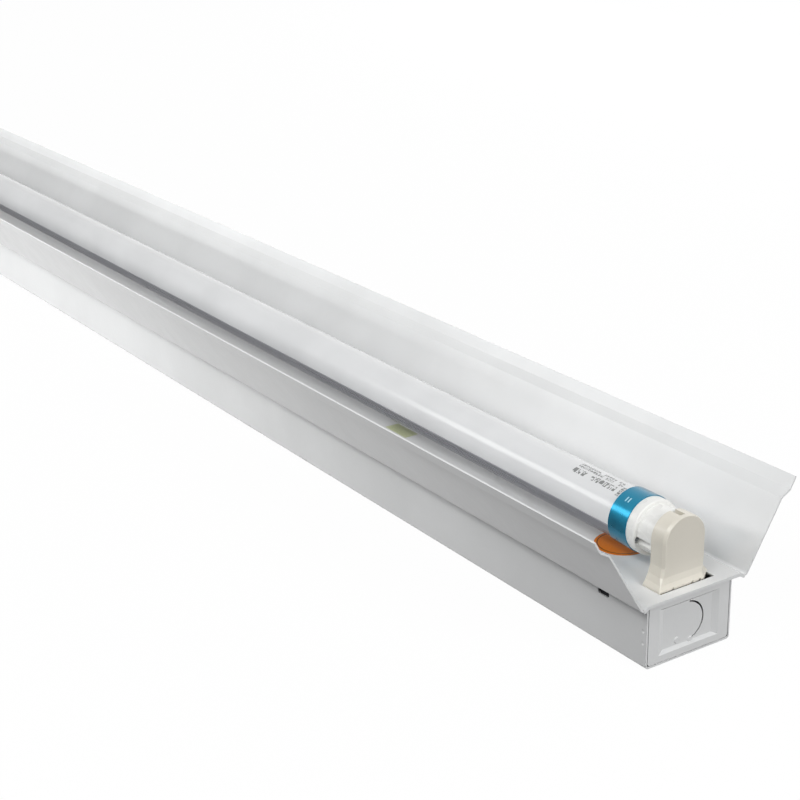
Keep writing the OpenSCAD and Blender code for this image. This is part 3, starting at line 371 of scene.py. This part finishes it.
def shown_white(tree):
    """1 for the rays that show the backdrop: from the camera, reflected or passed through."""
    path = tree.nodes.new("ShaderNodeLightPath")
    shown = path.outputs["Is Camera Ray"]
    for name in ("Is Glossy Ray", "Is Transmission Ray"):
        node = tree.nodes.new("ShaderNodeMath")
        node.operation = "MAXIMUM"
        tree.links.new(shown, node.inputs[0])
        tree.links.new(path.outputs[name], node.inputs[1])
        shown = node.outputs[0]
    return shown


def pale_stage():
    """A white floor that keeps the object's shadow and throws little light back up at it."""
    s = Shade("pale_stage")
    shown = shown_white(s.tree)
    s.set(Base_Color=s.mix(shown, linear(*FLOOR_BOUNCE), linear(*FLOOR_SHOWN)), Roughness=1.0)
    s.set(Specular_IOR_Level=0.0)
    glow = s.tree.nodes.new("ShaderNodeEmission")
    glow.inputs["Color"].default_value = (1, 1, 1, 1)
    glow.inputs["Strength"].default_value = 1.0
    blend = s.tree.nodes.new("ShaderNodeMixShader")
    s.link(s.math("MULTIPLY", shown, FLOOR_GLOW), blend.inputs[0])
    s.link(s.bsdf.outputs[0], blend.inputs[1])
    s.link(glow.outputs[0], blend.inputs[2])
    s.link(blend.outputs[0], s.out.inputs[0])
    return s.mat


bpy.ops.mesh.primitive_plane_add(size=FLOOR_SIZE, location=(0, 0, -FLOOR_DROP))
floor = bpy.context.object
floor.name = "floor"
floor.data.materials.append(pale_stage())
floor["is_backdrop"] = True

world = bpy.data.worlds.new("studio")
bpy.context.scene.world = world
world.use_nodes = True
tree = world.node_tree
tree.nodes.clear()
out = tree.nodes.new("ShaderNodeOutputWorld")
fill = tree.nodes.new("ShaderNodeBackground")
fill.inputs["Color"].default_value = WORLD_TINT
fill.inputs["Strength"].default_value = WORLD_FILL
backdrop = tree.nodes.new("ShaderNodeBackground")
backdrop.inputs["Color"].default_value = (1, 1, 1, 1)
backdrop.inputs["Strength"].default_value = 1.0
blend = tree.nodes.new("ShaderNodeMixShader")
tree.links.new(shown_white(tree), blend.inputs[0])
tree.links.new(fill.outputs[0], blend.inputs[1])
tree.links.new(backdrop.outputs[0], blend.inputs[2])
tree.links.new(blend.outputs[0], out.inputs[0])


def softbox(name, place, target, size, power, spread=180.0):
    """A rectangular area lamp at a place, turned towards its target."""
    data = bpy.data.lights.new(name, "AREA")
    data.shape = "RECTANGLE"
    data.size, data.size_y = size
    data.energy = power
    data.spread = math.radians(spread)
    lamp = bpy.data.objects.new(name, data)
    bpy.context.scene.collection.objects.link(lamp)
    lamp.location = place
    aim = [t - p for t, p in zip(target, place)]
    length = math.sqrt(sum(a * a for a in aim))
    pitch = math.acos(-aim[2] / length)
    turn = math.atan2(aim[1], aim[0]) - math.pi / 2
    lamp.rotation_euler = (pitch, 0, turn)
    lamp.visible_camera = False
    lamp.visible_glossy = name not in FILL_ONLY


for name, light in LIGHTS.items():
    softbox(name, *light)

camera = bpy.data.cameras.new("camera")
camera.lens = CAMERA_LENS
camera.sensor_width = CAMERA_SENSOR
camera.clip_start, camera.clip_end = CAMERA_CLIP
view = bpy.data.objects.new("camera", camera)
bpy.context.scene.collection.objects.link(view)
view.location = CAMERA_PLACE
view.rotation_euler = CAMERA_TURN
bpy.context.scene.camera = view
bpy.context.scene.view_settings.view_transform = "Standard"

{"cad": plain(cad_box), "visual": plain(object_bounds())}
